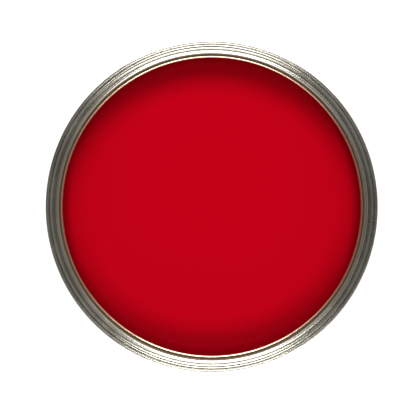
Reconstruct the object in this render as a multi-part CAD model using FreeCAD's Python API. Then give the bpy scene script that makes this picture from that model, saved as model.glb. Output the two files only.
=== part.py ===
# Open lever-lid paint tin, round, 2.5 litre, with its paint and a folded wire bail.
#
# Frame: the origin is the centre of the foot, on the ground. +Z goes up through the mouth,
# +X through one of the ears, and the bail hangs folded on the -Y side. Millimetres.

import FreeCAD, Part
import os
from math import asin, atan2, cos, degrees, radians, sin

# tin
TIN_HEIGHT = 140.0
BODY_INNER_RADIUS = 82.8
BODY_SHEET = 0.22
END_SHEET = 0.25
LAYER_GAP = 0.03  # between the folded layers of a seam

# double seams, heights measured from a seam's crest
SEAM_HEIGHT = 3.1
SEAM_CREST_BEND = 0.34
COVER_HOOK_TIP = 0.95
BODY_HOOK_TIP = 2.50
SEALANT_HEIGHT = 0.20

# lid ring, depths measured from the rim
GROOVE_SPRING_DEPTH = 3.2
GROOVE_OUTER_BEND = 1.1
GROOVE_INNER_BEND = 2.1
BEAD_SPRING_DEPTH = 1.9
LID_SEAT_RADIUS = 77.5
LID_SEAT_END = 5.0
SEAT_FLARE_BEND = 1.0
SEAT_FLARE_ANGLE = 12.0
CURL_DEPTH = 6.3
CURL_BEND = 0.85
CURL_ANGLE = 300.0

# bottom end, heights measured from the ground
COUNTERSINK_SPRING = 4.4
COUNTERSINK_BEND = 1.1
PANEL_HEIGHT = 3.6
PANEL_CORNER_BEND = 0.6
EXPANSION_RINGS = ((70.0, 5.0), (50.0, 4.0))  # outer radius and width of each raised ring
RING_BEND = 2.0
RING_ANGLE = 35.0

# side weld, on the +Y side
WELD_WIDTH = 0.9
WELD_PROUD = 0.10
WELD_END_MARGIN = 3.4

# paint
PAINT_LEVEL = 121.0
PAINT_GAP = 0.03
PAINT_TOE_ANGLE = 45.0  # where the paint leaves the countersink's curve for the wall
MENISCUS_RADIUS = 2.4
MENISCUS_ANGLE = 52.0
MENISCUS_LIP = 0.2

# ears
PIVOT_HEIGHT = 95.0
EAR_SHEET = 0.6
EAR_FLANGE_RADIUS = 13.0
EAR_DOME_RADIUS = 9.5
EAR_DOME_HEIGHT = 4.0
EAR_DOME_DEPTH = 7.0
EAR_SHOULDER_BEND = 2.4
EAR_HOLE_RADIUS = 1.9
SPOT_COUNT = 4
SPOT_CIRCLE_RADIUS = 11.5
SPOT_RADIUS = 1.1
SPOT_DEPTH = 0.12

# bail
WIRE_RADIUS = 1.6
BAIL_REACH = 115.0  # from the pivot axis to the axis of the grip
LEG_X = 89.4
LEG_LENGTH = 10.0
LEG_BEND = 3.0
SIDE_BEND = 240.0
GRIP_SPAN = 36.0  # half the straight length that carries the grip
HEAD_RADIUS = 3.2
HEAD_THICKNESS = 1.2
HEAD_EDGE = 0.3
HEAD_PLAY = 0.3
FOLDED_GAP = 0.4  # between the folded grip and the body

# grip
GRIP_HALF_LENGTH = 34.5
GRIP_BORE_RADIUS = 1.85
GRIP_COLLAR_RADIUS = 6.5
GRIP_COLLAR_WIDTH = 3.0
GRIP_BARREL_RADIUS = 5.9
GRIP_GROOVE_DEPTH = 0.6
GRIP_GROOVE_PITCH = 5.6
GRIP_GROOVES = 10
GRIP_EDGE = 0.8

BODY_RADIUS = BODY_INNER_RADIUS + BODY_SHEET

# centreline radii of the layers in a seam, from the inside out
CHUCK_WALL = BODY_INNER_RADIUS - LAYER_GAP - END_SHEET / 2
COVER_HOOK = BODY_RADIUS + LAYER_GAP + END_SHEET / 2
BODY_HOOK = COVER_HOOK + END_SHEET / 2 + LAYER_GAP + BODY_SHEET / 2
SEAM_WALL = BODY_HOOK + BODY_SHEET / 2 + LAYER_GAP + END_SHEET / 2
HOOK_BEND = (SEAM_WALL - COVER_HOOK) / 2
BODY_BEND_HEIGHT = END_SHEET + LAYER_GAP + HOOK_BEND + BODY_SHEET / 2

ORIGIN = FreeCAD.Vector(0, 0, 0)
X_AXIS = FreeCAD.Vector(1, 0, 0)
Y_AXIS = FreeCAD.Vector(0, 1, 0)
Z_AXIS = FreeCAD.Vector(0, 0, 1)


def point(x, z):
    return FreeCAD.Vector(x, 0, z)


def bent_line(start, heading, moves, offset=0.0):
    """Edges in the XZ plane along a line of straights and bends, shifted to its left.

    A move is ("x", value) or ("z", value), straight on to that coordinate, or
    (radius, degrees), a bend to the left, or to the right when degrees is negative.
    """
    x, z = start
    angle = radians(heading)
    edges = []
    for kind, value in moves:
        first = point(x - offset * sin(angle), z + offset * cos(angle))
        if kind in ("x", "z"):
            run = (value - x) / cos(angle) if kind == "x" else (value - z) / sin(angle)
            x, z = x + run * cos(angle), z + run * sin(angle)
            last = point(x - offset * sin(angle), z + offset * cos(angle))
            edges.append(Part.LineSegment(first, last).toShape())
        else:
            side = 1 if value > 0 else -1
            cx, cz = x - side * kind * sin(angle), z + side * kind * cos(angle)
            reach = side * kind - offset
            middle = angle + radians(value) / 2
            angle += radians(value)
            x, z = cx + side * kind * sin(angle), cz - side * kind * cos(angle)
            edges.append(
                Part.Arc(
                    first,
                    point(cx + reach * sin(middle), cz - reach * cos(middle)),
                    point(cx + reach * sin(angle), cz - reach * cos(angle)),
                ).toShape()
            )
    return edges


def face_of(edges):
    return Part.Face(Part.Wire(Part.__sortEdges__(edges)))


def bent_sheet(start, heading, moves, thickness):
    """Section of sheet metal whose centreline is the bent line."""
    left = bent_line(start, heading, moves, thickness / 2)
    right = bent_line(start, heading, moves, -thickness / 2)
    caps = [
        Part.LineSegment(left[0].Vertexes[0].Point, right[0].Vertexes[0].Point).toShape(),
        Part.LineSegment(left[-1].Vertexes[-1].Point, right[-1].Vertexes[-1].Point).toShape(),
    ]
    return face_of(left + right + caps)


def polygon(points):
    return Part.Face(Part.makePolygon([point(x, z) for x, z in points + points[:1]]))


def turned(section, angle=360.0):
    return section.revolve(ORIGIN, Z_AXIS, angle)


def upside_down(shape):
    """A piece drawn from a seam's crest upwards, moved to the top of the tin."""
    shape = shape.copy()
    shape.rotate(ORIGIN, X_AXIS, 180)
    shape.translate(Z_AXIS * TIN_HEIGHT)
    return shape


def along_x(shape):
    """A piece drawn about the Z axis, laid along the X axis."""
    shape = shape.copy()
    shape.rotate(ORIGIN, Y_AXIS, 90)
    return shape


# From the tip of the cover hook, round the seam, to the chuck wall. Both ends start this way.
SEAM_START = (COVER_HOOK, COVER_HOOK_TIP)
SEAM_MOVES = [
    ("z", SEAM_HEIGHT - END_SHEET / 2 - HOOK_BEND),
    (HOOK_BEND, -180),
    ("z", END_SHEET / 2 + SEAM_CREST_BEND),
    (SEAM_CREST_BEND, -90),
    ("x", CHUCK_WALL + SEAM_CREST_BEND),
    (SEAM_CREST_BEND, -90),
]

# From the countersink of the bottom end, across the panel, to the axis.
PANEL_MOVES = [
    ("z", PANEL_HEIGHT + PANEL_CORNER_BEND),
    (PANEL_CORNER_BEND, -90),
]
for outer_radius, width in EXPANSION_RINGS:
    PANEL_MOVES += [
        ("x", outer_radius),
        (RING_BEND, -RING_ANGLE),
        (RING_BEND, RING_ANGLE),
        ("x", outer_radius - width),
        (RING_BEND, RING_ANGLE),
        (RING_BEND, -RING_ANGLE),
    ]
PANEL_MOVES.append(("x", 0))


def body_shell():
    shell = turned(
        bent_sheet(
            (BODY_HOOK, BODY_HOOK_TIP),
            -90,
            [
                ("z", BODY_BEND_HEIGHT),
                (HOOK_BEND, -180),
                ("z", TIN_HEIGHT - BODY_BEND_HEIGHT),
                (HOOK_BEND, -180),
                ("z", TIN_HEIGHT - BODY_HOOK_TIP),
            ],
            BODY_SHEET,
        )
    )
    # the lapped edges of the rolled sheet, welded into one slightly thicker strip
    inner, outer = BODY_INNER_RADIUS + BODY_SHEET / 3, BODY_RADIUS + WELD_PROUD
    low, high = WELD_END_MARGIN, TIN_HEIGHT - WELD_END_MARGIN
    angle = degrees(WELD_WIDTH / BODY_RADIUS)
    weld = turned(polygon([(inner, low), (outer, low), (outer, high), (inner, high)]), angle)
    weld.rotate(ORIGIN, Z_AXIS, 90 - angle / 2)
    return shell.fuse(weld).removeSplitter()


def lid_ring():
    seat_wall = LID_SEAT_RADIUS + END_SHEET / 2
    groove_inner_wall = CHUCK_WALL - GROOVE_OUTER_BEND - GROOVE_INNER_BEND
    moves = SEAM_MOVES + [
        ("z", GROOVE_SPRING_DEPTH),
        (GROOVE_OUTER_BEND, 90),
        (GROOVE_INNER_BEND, 90),
        ("z", BEAD_SPRING_DEPTH),
        ((groove_inner_wall - seat_wall) / 2, -180),
        ("z", LID_SEAT_END),
        (SEAT_FLARE_BEND, -SEAT_FLARE_ANGLE),
        ("z", CURL_DEPTH - SEAT_FLARE_BEND * sin(radians(SEAT_FLARE_ANGLE))),
        (SEAT_FLARE_BEND, SEAT_FLARE_ANGLE),
        (CURL_BEND, CURL_ANGLE),
    ]
    return upside_down(turned(bent_sheet(SEAM_START, 90, moves, END_SHEET)))


def bottom_end():
    moves = SEAM_MOVES + [("z", COUNTERSINK_SPRING), (COUNTERSINK_BEND, 180)] + PANEL_MOVES
    return turned(bent_sheet(SEAM_START, 90, moves, END_SHEET))


def seam_compound():
    """Sealant in the fold of the body flange, below the tip of the cover hook."""
    top = COVER_HOOK_TIP - LAYER_GAP
    return turned(bent_sheet((COVER_HOOK, top), -90, [("z", top - SEALANT_HEIGHT)], END_SHEET))


def paint_fill():
    """Liquid that fills the tin to its level, with the surface drawn up at the wall."""
    wall = BODY_INNER_RADIUS - PAINT_GAP
    # the underside follows the bottom end from the wall to the axis
    angle = radians(PAINT_TOE_ANGLE)
    start = (CHUCK_WALL - COUNTERSINK_BEND * (1 - cos(angle)),
             COUNTERSINK_SPRING + COUNTERSINK_BEND * sin(angle))
    moves = [(COUNTERSINK_BEND, 180 - PAINT_TOE_ANGLE)] + PANEL_MOVES
    floor = bent_line(start, 90 + PAINT_TOE_ANGLE, moves, -END_SHEET / 2 - PAINT_GAP)
    toe = floor[0].Vertexes[0].Point
    centre = floor[-1].Vertexes[-1].Point
    # the surface is level up to the meniscus, which ends in a narrow lip at the wall
    lip_radius = wall - MENISCUS_LIP
    lip_height = PAINT_LEVEL + MENISCUS_RADIUS * (1 - cos(radians(MENISCUS_ANGLE)))
    level_radius = lip_radius - MENISCUS_RADIUS * sin(radians(MENISCUS_ANGLE))
    meniscus = bent_line((level_radius, PAINT_LEVEL), 0, [(MENISCUS_RADIUS, MENISCUS_ANGLE)])
    side = Part.makePolygon(
        [toe, point(wall, toe.z), point(wall, lip_height), point(lip_radius, lip_height)]
    )
    level = Part.makePolygon([point(level_radius, PAINT_LEVEL), point(0, PAINT_LEVEL), centre])
    return turned(face_of(floor + meniscus + side.Edges + level.Edges))


def ear():
    """Pressed ear on the +X side: a curved flange and a hollow dome with the wire's hole."""
    seat = BODY_RADIUS + LAYER_GAP
    top = seat + EAR_DOME_HEIGHT - EAR_SHEET / 2
    dome = turned(
        bent_sheet(
            (EAR_DOME_RADIUS, seat + EAR_DOME_HEIGHT - EAR_DOME_DEPTH),
            90,
            [("z", top - EAR_SHOULDER_BEND), (EAR_SHOULDER_BEND, 90), ("x", EAR_HOLE_RADIUS)],
            EAR_SHEET,
        )
    )
    dome = along_x(dome)
    inside = along_x(Part.makeCylinder(EAR_DOME_RADIUS - EAR_SHEET / 4, 2 * seat))
    outline = along_x(Part.makeCylinder(EAR_FLANGE_RADIUS, 2 * seat))
    span = 4 * EAR_FLANGE_RADIUS
    body = Part.makeCylinder(seat, span, point(0, -span / 2))
    skin = Part.makeCylinder(seat + EAR_SHEET, span, point(0, -span / 2))
    shape = skin.common(outline).cut(inside).fuse(dome).cut(body)
    # shallow electrode marks of the spot welds
    above_marks = Part.makeCylinder(seat + EAR_SHEET - SPOT_DEPTH, span, point(0, -span / 2))
    for i in range(SPOT_COUNT):
        around = radians(45 + 360 * i / SPOT_COUNT)
        mark = along_x(Part.makeCylinder(SPOT_RADIUS, 2 * seat))
        mark.translate(
            FreeCAD.Vector(0, SPOT_CIRCLE_RADIUS * cos(around), SPOT_CIRCLE_RADIUS * sin(around))
        )
        shape = shape.cut(mark.cut(above_marks))
    shape.translate(Z_AXIS * PIVOT_HEIGHT)
    return shape


def turned_about_tin(shape):
    shape = shape.copy()
    shape.rotate(ORIGIN, Z_AXIS, 180)
    return shape


def folded(shape):
    """A piece drawn with the bail upright on the pivot axis, swung to its folded rest."""
    shape = shape.copy()
    swing = degrees(asin((BODY_RADIUS + FOLDED_GAP + GRIP_BARREL_RADIUS) / BAIL_REACH))
    shape.rotate(ORIGIN, X_AXIS, 180 - swing)
    shape.translate(Z_AXIS * PIVOT_HEIGHT)
    return shape


def bail_wire():
    head_x = BODY_RADIUS + LAYER_GAP + EAR_DOME_HEIGHT - EAR_SHEET - HEAD_PLAY - HEAD_THICKNESS
    # each side sweeps in from its leg on a wide bend, then turns on a tight one to the grip
    side_centre = LEG_X - SIDE_BEND
    rise = BAIL_REACH - LEG_LENGTH
    inset = GRIP_SPAN - side_centre
    corner_bend = (SIDE_BEND**2 - inset**2 - rise**2) / (2 * (SIDE_BEND - rise))
    side_angle = degrees(atan2(rise - corner_bend, inset))
    moves = [
        ("x", LEG_BEND - LEG_X),
        (LEG_BEND, -90),
        ("z", LEG_LENGTH),
        (SIDE_BEND, -side_angle),
        (corner_bend, side_angle - 90),
        ("x", GRIP_SPAN),
        (corner_bend, side_angle - 90),
        (SIDE_BEND, -side_angle),
        ("z", LEG_BEND),
        (LEG_BEND, -90),
        ("x", head_x),
    ]
    spine = Part.Wire(bent_line((-head_x, 0), 180, moves))
    ring = Part.Wire(Part.makeCircle(WIRE_RADIUS, point(-head_x, 0), X_AXIS))
    wire = spine.makePipeShell([ring], True, False)
    for side in (-1, 1):
        head = Part.makeCylinder(HEAD_RADIUS, HEAD_THICKNESS, point(side * head_x, 0), X_AXIS * side)
        head = head.makeChamfer(HEAD_EDGE, head.Edges)
        wire = wire.fuse(head)
    return folded(wire.removeSplitter())


def bail_grip():
    half = GRIP_HALF_LENGTH
    shoulder = half - GRIP_COLLAR_WIDTH
    groove = GRIP_GROOVE_PITCH / 5
    outline = [(GRIP_BORE_RADIUS, -half), (GRIP_COLLAR_RADIUS - GRIP_EDGE, -half),
               (GRIP_COLLAR_RADIUS, GRIP_EDGE - half), (GRIP_COLLAR_RADIUS, -shoulder),
               (GRIP_BARREL_RADIUS, GRIP_EDGE - shoulder)]
    for i in range(GRIP_GROOVES):
        z = (i - (GRIP_GROOVES - 1) / 2) * GRIP_GROOVE_PITCH
        outline += [(GRIP_BARREL_RADIUS, z - groove),
                    (GRIP_BARREL_RADIUS - GRIP_GROOVE_DEPTH, z - groove / 2),
                    (GRIP_BARREL_RADIUS - GRIP_GROOVE_DEPTH, z + groove / 2),
                    (GRIP_BARREL_RADIUS, z + groove)]
    outline += [(GRIP_BARREL_RADIUS, shoulder - GRIP_EDGE), (GRIP_COLLAR_RADIUS, shoulder),
                (GRIP_COLLAR_RADIUS, half - GRIP_EDGE), (GRIP_COLLAR_RADIUS - GRIP_EDGE, half),
                (GRIP_BORE_RADIUS, half)]
    grip = along_x(turned(polygon(outline)))
    grip.translate(Z_AXIS * BAIL_REACH)
    return folded(grip)


right_ear = ear()
lower_compound = seam_compound()

NODES = {
    "body_shell": body_shell(),
    "lid_ring": lid_ring(),
    "bottom_end": bottom_end(),
    "top_seam_compound": upside_down(lower_compound),
    "bottom_seam_compound": lower_compound,
    "paint_fill": paint_fill(),
    "ear_right": right_ear,
    "ear_left": turned_about_tin(right_ear),
    "bail_wire": bail_wire(),
    "bail_grip": bail_grip(),
}

os.makedirs("parts", exist_ok=True)
for name, shape in NODES.items():
    solid = shape.Solids[0]
    solid.exportStep(f"parts/{name}.step")
    print(name, "valid" if solid.isValid() else "broken", round(solid.Volume / 1000, 3), "cm3")
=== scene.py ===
# Open paint tin on a white table, seen from above.

import math

import bmesh
import bpy
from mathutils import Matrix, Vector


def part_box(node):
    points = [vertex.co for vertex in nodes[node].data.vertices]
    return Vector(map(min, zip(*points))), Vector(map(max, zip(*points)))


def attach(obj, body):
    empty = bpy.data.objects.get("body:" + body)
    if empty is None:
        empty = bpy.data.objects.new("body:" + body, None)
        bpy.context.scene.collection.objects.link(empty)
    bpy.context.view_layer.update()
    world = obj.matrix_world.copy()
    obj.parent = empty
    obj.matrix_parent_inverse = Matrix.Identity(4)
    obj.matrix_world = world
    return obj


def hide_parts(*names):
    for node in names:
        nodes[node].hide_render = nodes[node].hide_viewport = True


MM = 0.001

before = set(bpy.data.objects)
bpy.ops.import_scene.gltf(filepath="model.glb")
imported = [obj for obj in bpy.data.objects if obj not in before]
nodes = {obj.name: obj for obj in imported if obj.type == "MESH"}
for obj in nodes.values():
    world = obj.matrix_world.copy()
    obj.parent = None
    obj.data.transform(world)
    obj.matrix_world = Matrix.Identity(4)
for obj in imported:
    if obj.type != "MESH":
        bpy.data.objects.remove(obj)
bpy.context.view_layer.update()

RIM_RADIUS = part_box("lid_ring")[1].x
RIM_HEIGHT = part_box("lid_ring")[1].z


# ---------------------------------------------------------------- shader nodes

# where a Mix node keeps its factor and its two values, and its result, for each kind of value
MIX_COLOUR_INPUTS, MIX_COLOUR_OUTPUT = (0, 6, 7), 2
MIX_NUMBER_INPUTS, MIX_NUMBER_OUTPUT = (0, 2, 3), 0


class Nodes:
    """A node tree with short calls for the few nodes that the materials use."""

    def __init__(self, tree):
        self.tree = tree
        tree.nodes.clear()

    def add(self, kind, **settings):
        node = self.tree.nodes.new("ShaderNode" + kind)
        for name, value in settings.items():
            setattr(node, name, value)
        return node

    def put(self, node, key, value):
        """Sets an input to a number or a colour, or links it to another node's output."""
        socket = node.inputs[key]
        if isinstance(value, bpy.types.NodeSocket):
            self.tree.links.new(value, socket)
        else:
            socket.default_value = value

    def math(self, operation, a, b=0.0, clamp=False):
        node = self.add("Math", operation=operation, use_clamp=clamp)
        self.put(node, 0, a)
        self.put(node, 1, b)
        return node.outputs[0]

    def ramp(self, value, low, high, low_out=0.0, high_out=1.0):
        """A smooth step from low_out to high_out, between low and high."""
        node = self.add("MapRange", interpolation_type="SMOOTHSTEP")
        for key, number in (("Value", value), ("From Min", low), ("From Max", high),
                            ("To Min", low_out), ("To Max", high_out)):
            self.put(node, key, number)
        return node.outputs["Result"]

    def fall(self, value, low, high):
        """A smooth step from 1 down to 0, between low and high."""
        return self.ramp(value, low, high, 1.0, 0.0)

    def mix(self, factor, a, b):
        """A colour between two colours."""
        node = self.add("Mix", data_type="RGBA")
        for key, value in zip(MIX_COLOUR_INPUTS, (factor, a, b)):
            self.put(node, key, value)
        return node.outputs[MIX_COLOUR_OUTPUT]

    def blend(self, factor, a, b):
        """A number between two numbers."""
        node = self.add("Mix", data_type="FLOAT")
        for key, value in zip(MIX_NUMBER_INPUTS, (factor, a, b)):
            self.put(node, key, value)
        return node.outputs[MIX_NUMBER_OUTPUT]

    def noise(self, vector, scale, detail):
        node = self.add("TexNoise")
        for key, value in (("Vector", vector), ("Scale", scale), ("Detail", detail)):
            self.put(node, key, value)
        return node.outputs["Fac"]

    def streaks(self, vector, scales, detail):
        """Noise with its own scale along each axis."""
        node = self.add("Mapping")
        self.put(node, "Vector", vector)
        self.put(node, "Scale", scales)
        return self.noise(node.outputs["Vector"], 1.0, detail)

    def distance(self, vector, weights, centre):
        """How far a place is from a centre, with each axis weighted."""
        offset = self.add("VectorMath", operation="SUBTRACT")
        self.put(offset, 0, vector)
        self.put(offset, 1, centre)
        weighted = self.add("VectorMath", operation="MULTIPLY")
        self.put(weighted, 0, offset.outputs[0])
        self.put(weighted, 1, weights)
        length = self.add("VectorMath", operation="LENGTH")
        self.put(length, 0, weighted.outputs[0])
        return length.outputs["Value"]

    def from_axis(self, place):
        """Distance from the tin's axis."""
        return self.distance(place, (1.0, 1.0, 0.0), (0.0, 0.0, 0.0))

    def split(self, vector):
        """The X, Y and Z of a vector."""
        node = self.add("SeparateXYZ")
        self.put(node, 0, vector)
        return node.outputs

    def bump(self, height, strength, distance, normal=None):
        node = self.add("Bump")
        for key, value in (("Height", height), ("Strength", strength), ("Distance", distance)):
            self.put(node, key, value)
        if normal is not None:
            self.put(node, "Normal", normal)
        return node.outputs["Normal"]


def material(name):
    """A new material with its node helper, its shader and the object's own coordinates."""
    made = bpy.data.materials.new(name)
    made.use_nodes = True
    n = Nodes(made.node_tree)
    shader = n.add("BsdfPrincipled")
    out = n.add("OutputMaterial")
    n.put(out, "Surface", shader.outputs[0])
    place = n.add("TexCoord").outputs["Object"]
    return made, n, shader, place


def wear(piece, made):
    """Gives a piece this one material."""
    piece.data.materials.clear()
    piece.data.materials.append(made)


# ---------------------------------------------------------------- turned sheet metal

# Both ends of the tin are shown by evenly turned copies of their CAD nodes, because the
# narrow bends of the rim need smoother shading than the CAD mesh gives. Millimetres, with
# heights measured from the rim on the ring, and from the ground on the bottom end.
TIN_HEIGHT = 140.0
END_SHEET = 0.25

SEAM_START = (83.175, 0.95)
SEAM_MOVES = [
    ("z", 2.71), (0.265, -180),  # cover hook
    ("z", 0.465), (0.34, -90), ("x", 82.985), (0.34, -90),  # seam wall and crest
]
RING_MOVES = [
    ("z", 3.2), (1.1, 90), (2.1, 90),  # groove
    ("z", 1.9), (0.91, -180),  # bead
    ("z", 5.0), (1.0, -12), ("z", 6.092), (1.0, 12),  # lid seat and the flare under it
    (0.85, 300),  # curl
]
END_MOVES = [
    ("z", 4.4), (1.1, 180),  # countersink
    ("z", 4.2), (0.6, -90),  # corner of the panel
]
EXPANSION_RINGS = ((70.0, 5.0), (50.0, 4.0))  # outer radius and width of each raised ring
EXPANSION_BEND = 2.0
EXPANSION_ANGLE = 35

BEND_STEP = 8.0  # degrees of a bend between two points
COLUMNS = 240
MERGE_DISTANCE = 0.001 * MM
SHARP_ANGLE = math.radians(40)


def bent_sheet(start, moves, thickness):
    """Closed outline of a bent sheet that sets off along +Z, as radius and height.

    A move is ("x", value) or ("z", value), straight on to that coordinate, or
    (radius, degrees), a bend to the left, or to the right when degrees is negative.
    """
    x, z = start
    angle = math.pi / 2
    left, right = [], []

    def mark():
        for outline, offset in ((left, thickness / 2), (right, -thickness / 2)):
            outline.append((x - offset * math.sin(angle), z + offset * math.cos(angle)))

    mark()
    for kind, value in moves:
        if kind in ("x", "z"):
            if kind == "x":
                run = (value - x) / math.cos(angle)
            else:
                run = (value - z) / math.sin(angle)
            x, z = x + run * math.cos(angle), z + run * math.sin(angle)
            mark()
            continue
        reach = math.copysign(kind, value)
        cx, cz = x - reach * math.sin(angle), z + reach * math.cos(angle)
        steps = max(2, round(abs(value) / BEND_STEP))
        for _ in range(steps):
            angle += math.radians(value) / steps
            x, z = cx + reach * math.sin(angle), cz - reach * math.cos(angle)
            mark()
    return left + right[::-1]


def turned(name, outline, node):
    """A piece made by turning the outline about Z, in place of a CAD node of the tin."""
    rows = len(outline)
    points = []
    faces = []
    for column in range(COLUMNS):
        angle = 2 * math.pi * (column + 0.5) / COLUMNS
        for r, z in outline:
            points.append((r * MM * math.cos(angle), r * MM * math.sin(angle), z * MM))
        here, there = column * rows, (column + 1) % COLUMNS * rows
        for row in range(rows):
            after = (row + 1) % rows
            faces.append((here + row, there + row, there + after, here + after))
    mesh = bpy.data.meshes.new(name)
    mesh.from_pydata(points, [], faces)
    shape = bmesh.new()
    shape.from_mesh(mesh)
    bmesh.ops.remove_doubles(shape, verts=shape.verts, dist=MERGE_DISTANCE)
    bmesh.ops.recalc_face_normals(shape, faces=shape.faces)
    shape.to_mesh(mesh)
    shape.free()
    mesh.shade_smooth()
    mesh.set_sharp_from_angle(angle=SHARP_ANGLE)
    piece = bpy.data.objects.new(name, mesh)
    bpy.context.scene.collection.objects.link(piece)
    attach(piece, "tin")
    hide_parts(node)
    return piece


def ring_of_the_lid():
    """The ring round the mouth, whose outline is drawn downwards from the rim."""
    outline = bent_sheet(SEAM_START, SEAM_MOVES + RING_MOVES, END_SHEET)
    return turned("rim_ring", [(r, TIN_HEIGHT - z) for r, z in outline], "lid_ring")


def end_of_the_foot():
    """The bottom end, with its raised rings, drawn upwards from the ground to the axis."""
    moves = SEAM_MOVES + END_MOVES
    for outer_radius, width in EXPANSION_RINGS:
        moves += [
            ("x", outer_radius),
            (EXPANSION_BEND, -EXPANSION_ANGLE), (EXPANSION_BEND, EXPANSION_ANGLE),
            ("x", outer_radius - width),
            (EXPANSION_BEND, EXPANSION_ANGLE), (EXPANSION_BEND, -EXPANSION_ANGLE),
        ]
    outline = bent_sheet(SEAM_START, moves + [("x", 0)], END_SHEET)
    return turned("foot_end", outline, "bottom_end")


# ---------------------------------------------------------------- materials

BARE_TIN = (0.575, 0.560, 0.515, 1)
BRIGHT_TIN = (0.635, 0.620, 0.573, 1)
SCUFFED_TIN = (0.36, 0.34, 0.31, 1)
EAR_TIN_DARK = (0.53, 0.51, 0.46, 1)
EAR_TIN_PALE = (0.61, 0.585, 0.53, 1)
SPOT_WELD = (0.34, 0.31, 0.28, 1)
WELD_HEAT = (0.33, 0.28, 0.25, 1)
WELD_BEAD = (0.50, 0.47, 0.43, 1)
# painted shade on the seat wall of the ring, darker deeper down
SEAT_SHADE_TONE = (0.22, 0.22, 0.155, 1)
SEAT_SHADE_DEEP = (0.11, 0.10, 0.055, 1)
# painted reflection of the red paint in the curl
CURL_REFLECTED_RED = (0.76, 0.56, 0.41, 1)
ZINC_DARK = (0.46, 0.47, 0.475, 1)
ZINC_PALE = (0.60, 0.61, 0.615, 1)
ZINC_SPOT = (0.40, 0.40, 0.395, 1)
PLASTIC_DARK = (0.020, 0.020, 0.022, 1)
PLASTIC_PALE = (0.034, 0.034, 0.036, 1)
PLASTIC_SCRATCH = (0.060, 0.060, 0.062, 1)
SEALANT_DARK = (0.32, 0.30, 0.27, 1)
SEALANT_PALE = (0.48, 0.46, 0.42, 1)
RED_DARK = (0.375, 0.0002, 0.0058, 1)
RED_PALE = (0.395, 0.0003, 0.0068, 1)
# painted shade on the paint by the wall, where the ring shades it
RED_PAINTED_SHADE = (0.16, 0.0001, 0.003, 1)
WALL_RED_THICK = (0.07, 0.0010, 0.0020, 1)
WALL_RED_THIN = (0.17, 0.0010, 0.0030, 1)

# noise scales of the tinplate, and the strength and distance of its bump
TIN_CLOUDS = 55.0
TIN_ROLLING = (900.0, 900.0, 12.0)
ROLLING_BUMP = (0.05, 0.05 * MM)

# where the painted shade on the seat and the painted reflection on the curl lie on the ring:
# radii, and depths under the rim
SEAT_EDGE = (77.68 * MM, 77.88 * MM)
CURL_EDGE = (77.30 * MM, 77.42 * MM)
EDGE_WANDER = 0.06 * MM
SEAT_TOP = (1.2 * MM, 1.6 * MM)
SHADE_DEEPENS = (2.2 * MM, 3.6 * MM)
CURL_TOP = (4.9 * MM, 5.3 * MM)

# the body: the weld's azimuth and its half-widths as angles, and the paint on the wall
WELD_AZIMUTH = math.pi / 2
WELD_BEAD_EDGE = (0.0045, 0.0065)
WELD_HEAT_EDGE = (0.010, 0.034)
WELD_HEAT_WANDER = 0.004
BODY_INSIDE = (82.88 * MM, 82.92 * MM)  # between the wall's inner and outer face
PAINTED_WALL = (135.0 * MM, 136.5 * MM)  # top of the paint film on the wall
PAINT_RUNS = 11.0 * MM

# the ears, round the pivot of the bail
PIVOT = (0.0, 0.0, 95.0 * MM)
DOME_EDGE = (8.6 * MM, 10.2 * MM)
SPOT_CIRCLE = 11.5 * MM
SPOT_EDGE = (0.9 * MM, 1.5 * MM)

# radii between which painted shade darkens the paint's surface near the ring: a faint margin,
# then deeper shade by the wall
PAINT_SHADE_MARGIN, MARGIN_SHADE_DEPTH = (60.0 * MM, 72.0 * MM), 0.12
PAINT_WALL_SHADE, WALL_SHADE_DEPTH = (73.5 * MM, 78.5 * MM), 0.50


def tin_surface(n, shader, place, dullness):
    """Bare tinplate, with faint clouds in its colour and rolling lines up the sheet."""
    clouds = n.noise(place, TIN_CLOUDS, 4.0)
    rolled = n.streaks(place, TIN_ROLLING, 3.0)
    tone = n.mix(clouds, BARE_TIN, BRIGHT_TIN)
    shine = n.math("ADD", n.math("MULTIPLY", clouds, 0.6), n.math("MULTIPLY", rolled, 0.4))
    rough = n.ramp(shine, 0.35, 0.65, 0.14 * dullness, 0.22 * dullness)
    relief = n.bump(rolled, *ROLLING_BUMP)
    n.put(shader, "Metallic", 1.0)
    n.put(shader, "Normal", relief)
    return tone, rough, relief


def ring_tin():
    """Tinplate of the lid ring, with painted shade on the seat wall, dull and dark, and the curl
    tinted peach as a painted reflection of the red paint.
    """
    made, n, shader, place = material("ring_tinplate")
    height = n.split(place)[2]
    clouds = n.noise(place, TIN_CLOUDS, 4.0)
    patchy = n.noise(place, 160.0, 3.0)
    wander = n.ramp(patchy, 0.3, 0.7, -EDGE_WANDER, EDGE_WANDER)
    edge = n.math("ADD", n.from_axis(place), wander)

    def below(start, full):
        """Rises from 0 to 1 between two depths under the rim."""
        return n.fall(height, RIM_HEIGHT - full, RIM_HEIGHT - start)

    # painted shade: a dull, dark tone that does not reflect, on the seat wall where it lies in
    # shade, darker deeper down
    seat = n.math("MULTIPLY", below(*SEAT_TOP), n.fall(edge, *SEAT_EDGE))
    curl = n.math("MULTIPLY", n.fall(edge, *CURL_EDGE), below(*CURL_TOP))
    seat_shade = n.math("SUBTRACT", seat, curl, clamp=True)
    shade_tone = n.mix(below(*SHADE_DEEPENS), SEAT_SHADE_TONE, SEAT_SHADE_DEEP)
    tone = n.mix(seat_shade, n.mix(clouds, BARE_TIN, BRIGHT_TIN), shade_tone)
    rough = n.blend(seat_shade, n.ramp(clouds, 0.35, 0.65, 0.13, 0.19), 0.36)
    # painted reflection: the curl is tinted peach for the red paint it reflects
    n.put(shader, "Base Color", n.mix(curl, tone, CURL_REFLECTED_RED))
    n.put(shader, "Metallic", n.math("SUBTRACT", 1.0, n.math("MULTIPLY", seat_shade, 0.80)))
    n.put(shader, "Specular IOR Level", 0.0)
    n.put(shader, "Roughness", n.blend(curl, rough, 0.20))
    n.put(shader, "Normal", n.bump(patchy, 0.05, 0.04 * MM))
    return made


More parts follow.
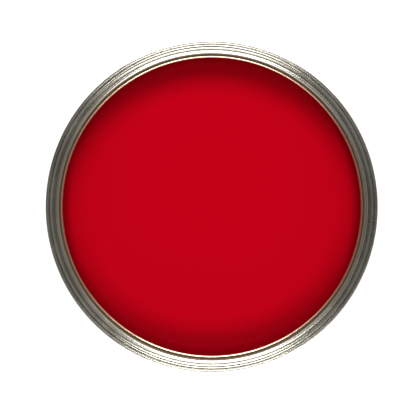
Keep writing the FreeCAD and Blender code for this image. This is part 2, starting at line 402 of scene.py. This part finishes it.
def body_tin():
    """Tinplate outside with a heat-tinted side weld; inside, a film of red paint on the wall."""
    made, n, shader, place = material("body_tinplate")
    x, y, height = n.split(place)
    tone, rough, relief = tin_surface(n, shader, place, 1.3)

    azimuth = n.math("ARCTAN2", y, x)
    off_weld = n.math("ABSOLUTE", n.math("SUBTRACT", azimuth, WELD_AZIMUTH))
    ripple = n.streaks(place, (60.0, 60.0, 1400.0), 2.0)
    wander = n.ramp(ripple, 0.3, 0.7, -WELD_HEAT_WANDER, WELD_HEAT_WANDER)
    heat = n.fall(n.math("ADD", off_weld, wander), *WELD_HEAT_EDGE)
    bead = n.fall(off_weld, *WELD_BEAD_EDGE)
    tone = n.mix(bead, n.mix(heat, tone, WELD_HEAT), WELD_BEAD)
    rough = n.blend(heat, rough, 0.38)

    runs = n.streaks(place, (260.0, 260.0, 22.0), 4.0)
    reach = n.math("ADD", height, n.ramp(runs, 0.25, 0.75, -PAINT_RUNS, PAINT_RUNS))
    inside = n.fall(n.from_axis(place), *BODY_INSIDE)
    wet = n.math("MULTIPLY", inside, n.fall(reach, *PAINTED_WALL))
    tone = n.mix(wet, tone, n.mix(runs, WALL_RED_THICK, WALL_RED_THIN))

    n.put(shader, "Base Color", tone)
    n.put(shader, "Metallic", n.fall(wet, 0.2, 0.8))
    n.put(shader, "Roughness", n.blend(wet, rough, 0.22))
    weld_relief = n.math("MULTIPLY", ripple, bead)
    n.put(shader, "Normal", n.bump(weld_relief, 0.5, 0.10 * MM, relief))
    return made


def end_tin():
    """Tinplate of the bottom end: the same sheet, dulled and scuffed where it has been stood."""
    made, n, shader, place = material("end_tinplate")
    tone, rough, _ = tin_surface(n, shader, place, 1.2)
    height = n.split(place)[2]
    scuffs = n.ramp(n.streaks(place, (700.0, 90.0, 700.0), 4.0), 0.52, 0.66)
    foot = n.math("MULTIPLY", scuffs, n.ramp(height, 0.4 * MM, 1.2 * MM, 1.0, 0.15))
    n.put(shader, "Base Color", n.mix(foot, tone, SCUFFED_TIN))
    n.put(shader, "Roughness", n.blend(foot, rough, 0.46))
    return made


def ear_tin():
    """Thicker pressed tinplate, burnished on the dome and dark in the weld marks."""
    made, n, shader, place = material("ear_tinplate")
    grain = n.noise(place, 420.0, 4.0)
    drawn = n.streaks(place, (1500.0, 200.0, 200.0), 2.0)
    from_pivot = n.distance(place, (0.0, 1.0, 1.0), PIVOT)
    dome = n.fall(from_pivot, *DOME_EDGE)
    off_circle = n.math("ABSOLUTE", n.math("SUBTRACT", from_pivot, SPOT_CIRCLE))
    marks = n.fall(off_circle, *SPOT_EDGE)
    speckled = n.math("MULTIPLY", marks, n.ramp(grain, 0.40, 0.62, 0.15, 0.75))
    tone = n.mix(grain, EAR_TIN_DARK, EAR_TIN_PALE)
    n.put(shader, "Base Color", n.mix(speckled, tone, SPOT_WELD))
    n.put(shader, "Metallic", 1.0)
    flange_rough = n.ramp(grain, 0.3, 0.7, 0.27, 0.36)
    dome_rough = n.ramp(drawn, 0.3, 0.7, 0.17, 0.27)
    rough = n.blend(dome, flange_rough, dome_rough)
    n.put(shader, "Roughness", n.blend(speckled, rough, 0.5))
    n.put(shader, "Normal", n.bump(grain, 0.10, 0.05 * MM))
    return made


def galvanised_wire():
    """Zinc-coated drawn wire, with small crystals and dull spots in the coating."""
    made, n, shader, place = material("galvanised_wire")
    crystals = n.add("TexVoronoi")
    n.put(crystals, "Vector", place)
    n.put(crystals, "Scale", 650.0)
    facet = n.add("SeparateColor")
    n.put(facet, 0, crystals.outputs["Color"])
    spots = n.ramp(n.noise(place, 130.0, 4.0), 0.45, 0.70)
    tone = n.mix(facet.outputs[0], ZINC_DARK, ZINC_PALE)
    n.put(shader, "Base Color", n.mix(spots, tone, ZINC_SPOT))
    n.put(shader, "Metallic", 1.0)
    rough = n.ramp(facet.outputs[1], 0.0, 1.0, 0.26, 0.36)
    n.put(shader, "Roughness", n.blend(spots, rough, 0.48))
    n.put(shader, "Normal", n.bump(n.noise(place, 1500.0, 2.0), 0.12, 0.05 * MM))
    return made


def moulded_grip():
    """Dark moulded plastic: orange-peel skin, patches worn shiny, and fine scratches."""
    made, n, shader, place = material("moulded_grip")
    peel = n.noise(place, 1100.0, 2.0)
    handled = n.noise(place, 75.0, 4.0)
    scratches = n.ramp(n.streaks(place, (90.0, 1300.0, 1300.0), 3.0), 0.60, 0.72)
    tone = n.mix(handled, PLASTIC_DARK, PLASTIC_PALE)
    n.put(shader, "Base Color", n.mix(scratches, tone, PLASTIC_SCRATCH))
    rough = n.ramp(handled, 0.3, 0.7, 0.34, 0.50)
    n.put(shader, "Roughness", n.blend(scratches, rough, 0.60))
    n.put(shader, "Normal", n.bump(peel, 0.25, 0.06 * MM))
    return made


def sealant():
    """Dull, lumpy compound in the folds of the seams."""
    made, n, shader, place = material("seam_sealant")
    lumps = n.noise(place, 900.0, 3.0)
    n.put(shader, "Base Color", n.mix(lumps, SEALANT_DARK, SEALANT_PALE))
    n.put(shader, "Roughness", n.ramp(lumps, 0.3, 0.7, 0.60, 0.80))
    n.put(shader, "Normal", n.bump(lumps, 0.4, 0.1 * MM))
    return made


def red_paint():
    """Fresh gloss paint: deep red, with very slow ripples, and painted shade darkening it by the
    wall.
    """
    made, n, shader, place = material("red_paint")
    radius = n.from_axis(place)
    slow = n.noise(place, 14.0, 2.0)
    tone = n.mix(slow, RED_DARK, RED_PALE)
    # painted shade: the paint is darkened towards the wall, under the ring, with a dark line at
    # its edge
    painted_shade = n.math("ADD", n.ramp(radius, *PAINT_SHADE_MARGIN, 0.0, MARGIN_SHADE_DEPTH),
                  n.ramp(radius, *PAINT_WALL_SHADE, 0.0, WALL_SHADE_DEPTH))
    n.put(shader, "Base Color", n.mix(painted_shade, tone, RED_PAINTED_SHADE))
    n.put(shader, "Roughness", n.ramp(slow, 0.3, 0.7, 0.09, 0.13))
    n.put(shader, "Specular IOR Level", 0.04)
    n.put(shader, "Normal", n.bump(slow, 0.05, 0.4 * MM))
    return made


wear(ring_of_the_lid(), ring_tin())
wear(end_of_the_foot(), end_tin())
wear(nodes["body_shell"], body_tin())
ear = ear_tin()
wear(nodes["ear_right"], ear)
wear(nodes["ear_left"], ear)
wear(nodes["paint_fill"], red_paint())
compound = sealant()
wear(nodes["top_seam_compound"], compound)
wear(nodes["bottom_seam_compound"], compound)
wear(nodes["bail_wire"], galvanised_wire())
wear(nodes["bail_grip"], moulded_grip())


# ---------------------------------------------------------------- table

TABLE_SIZE = 40.0
TABLE_WHITE = (0.90, 0.90, 0.89, 1)
TABLE_GREY = (0.50, 0.50, 0.495, 1)
TABLE_GLOW = (1.0, 1.0, 0.99, 1)
WHITE_EDGE = (0.16, 0.40)  # distances from the tin where the white starts and ends to fade
GLOW_FAR = 0.15
GLOW_NEAR = 0.12
GLOW_IN_SHADE = 0.42  # added where the tin shades the table, in front of it and behind it
SHADE_START = (0.05, 0.11)
SHADE_END = (0.17, 0.27)
SHADE_SIDE = (0.08, 0.18)


def table():
    """A white table that fades to pale grey away from the tin, and glows slightly."""
    made, n, shader, place = material("table_white")
    x, y, _ = n.split(place)
    across, along = n.math("ABSOLUTE", x), n.math("ABSOLUTE", y)
    shade = n.math("MULTIPLY", n.ramp(along, *SHADE_START),
                   n.math("MULTIPLY", n.fall(along, *SHADE_END), n.fall(across, *SHADE_SIDE)))
    glow = n.math("ADD", GLOW_NEAR, n.math("MULTIPLY", shade, GLOW_IN_SHADE))
    near = n.fall(n.from_axis(place), *WHITE_EDGE)
    n.put(shader, "Base Color", n.mix(near, TABLE_GREY, TABLE_WHITE))
    n.put(shader, "Roughness", 0.6)
    n.put(shader, "Specular IOR Level", 0.2)
    n.put(shader, "Emission Color", TABLE_GLOW)
    n.put(shader, "Emission Strength", n.blend(near, GLOW_FAR, glow))
    bpy.ops.mesh.primitive_plane_add(size=TABLE_SIZE)
    top = bpy.context.object
    top.name = "table_top"
    top.data.materials.append(made)


table()


# ---------------------------------------------------------------- light

BOX_DISTANCE = 0.7
BOX_TILT = math.radians(40)  # from straight overhead
BOX_SIZE = (0.48, 0.30)
HEAD_BOX = (90, 4.75)  # azimuth and power
FOOT_BOX = (275, 3.15)

# brightness of the room, from the horizon up to the point overhead
HORIZON = 1.0
LEFT_WALL, RIGHT_WALL, END_WALLS = 0.05, 0.17, 1.6
CEILING = 0.15
HALO_LEFT, HALO_RIGHT, HALO_ENDS = 0.22, 0.34, 0.25
OVERHEAD = 0.06
BACKDROP = 0.9

# where each part of the room gives way to the next, as the upward part of a direction
HORIZON_EDGE = (0.03, 0.12)
WALL_TOP = (0.34, 0.52)
HALO_EDGE = (0.80, 0.89)
OVERHEAD_EDGE = (0.970, 0.988)
SIDE_EDGE = (-0.2, 0.2)  # from left to right, as the rightward part of a direction

COOL_LIGHT = (0.97, 1.0, 0.97, 1)
WARM_LIGHT = (1.02, 0.98, 0.90, 1)
WHITE_LIGHT = (1.0, 1.0, 1.0, 1)


def soft_box(name, azimuth, power):
    """A rectangular light aimed at the middle of the rim, long side level."""
    data = bpy.data.lights.new(name, "AREA")
    data.shape = "RECTANGLE"
    data.size, data.size_y = BOX_SIZE
    data.energy = power
    box = bpy.data.objects.new(name, data)
    bpy.context.scene.collection.objects.link(box)
    heading = math.radians(azimuth)
    box.location = (BOX_DISTANCE * math.sin(BOX_TILT) * math.cos(heading),
                    BOX_DISTANCE * math.sin(BOX_TILT) * math.sin(heading),
                    BOX_DISTANCE * math.cos(BOX_TILT) + RIM_HEIGHT)
    box.rotation_euler = (BOX_TILT, 0, heading + math.pi / 2)


def room():
    """The dim room round the soft boxes: darkest straight overhead, pale at the horizon.

    Seen directly it is a plain pale backdrop.
    """
    world = bpy.data.worlds.new("room")
    bpy.context.scene.world = world
    world.use_nodes = True
    n = Nodes(world.node_tree)
    x, y, z = n.split(n.add("TexCoord").outputs["Generated"])

    # 0 towards either side of the room, 1 towards either end
    level = n.math("SQRT", n.math("SUBTRACT", 1.0, n.math("MULTIPLY", z, z), clamp=True))
    endward = n.math("DIVIDE", n.math("ABSOLUTE", y), n.math("MAXIMUM", level, 0.001))

    walls = n.math("ADD", n.ramp(x, *SIDE_EDGE, LEFT_WALL, RIGHT_WALL),
                   n.ramp(endward, 0.45, 0.92, 0.0, END_WALLS))
    halo = n.math("ADD", n.ramp(x, *SIDE_EDGE, HALO_LEFT, HALO_RIGHT),
                  n.ramp(endward, 0.2, 0.9, 0.0, HALO_ENDS))
    top = n.blend(n.ramp(z, *OVERHEAD_EDGE), halo, OVERHEAD)
    above = n.blend(n.ramp(z, *HALO_EDGE), CEILING, top)
    light = n.blend(n.ramp(z, *WALL_TOP), walls, above)
    light = n.blend(n.fall(z, *HORIZON_EDGE), light, HORIZON)
    tint = n.mix(n.ramp(x, -0.3, 0.1), COOL_LIGHT, WARM_LIGHT)

    seen = n.add("LightPath").outputs["Is Camera Ray"]
    back = n.add("Background")
    n.put(back, "Color", n.mix(seen, tint, WHITE_LIGHT))
    n.put(back, "Strength", n.blend(seen, light, BACKDROP))
    out = n.add("OutputWorld")
    n.put(out, "Surface", back.outputs[0])


soft_box("head_box", *HEAD_BOX)
soft_box("foot_box", *FOOT_BOX)
room()
bpy.context.scene.view_settings.view_transform = "Standard"


# ---------------------------------------------------------------- camera

CAMERA_RISE = 0.47  # height over the rim
CAMERA_TILT = math.radians(2.1)
SENSOR_WIDTH = 36.0
NEAREST = 0.01
RIM_SHARE = 0.7920  # rim radius over half the picture's width
RIM_RIGHT = 0.0041  # rim centre, as shares of the picture's width
RIM_UP = 0.0050


def camera():
    """Looks down on the rim, a little from behind, with the rim as large as RIM_SHARE says."""
    data = bpy.data.cameras.new("camera")
    eye = bpy.data.objects.new("camera", data)
    bpy.context.scene.collection.objects.link(eye)
    away = CAMERA_RISE / math.cos(CAMERA_TILT)
    data.sensor_width = SENSOR_WIDTH
    data.lens = RIM_SHARE * data.sensor_width / 2 * away / RIM_RADIUS
    data.shift_x = -RIM_RIGHT
    data.shift_y = -RIM_UP
    data.clip_start = NEAREST
    eye.location = (0, CAMERA_RISE * math.tan(CAMERA_TILT), RIM_HEIGHT + CAMERA_RISE)
    eye.rotation_euler = (-CAMERA_TILT, 0, 0)
    bpy.context.scene.camera = eye


camera()
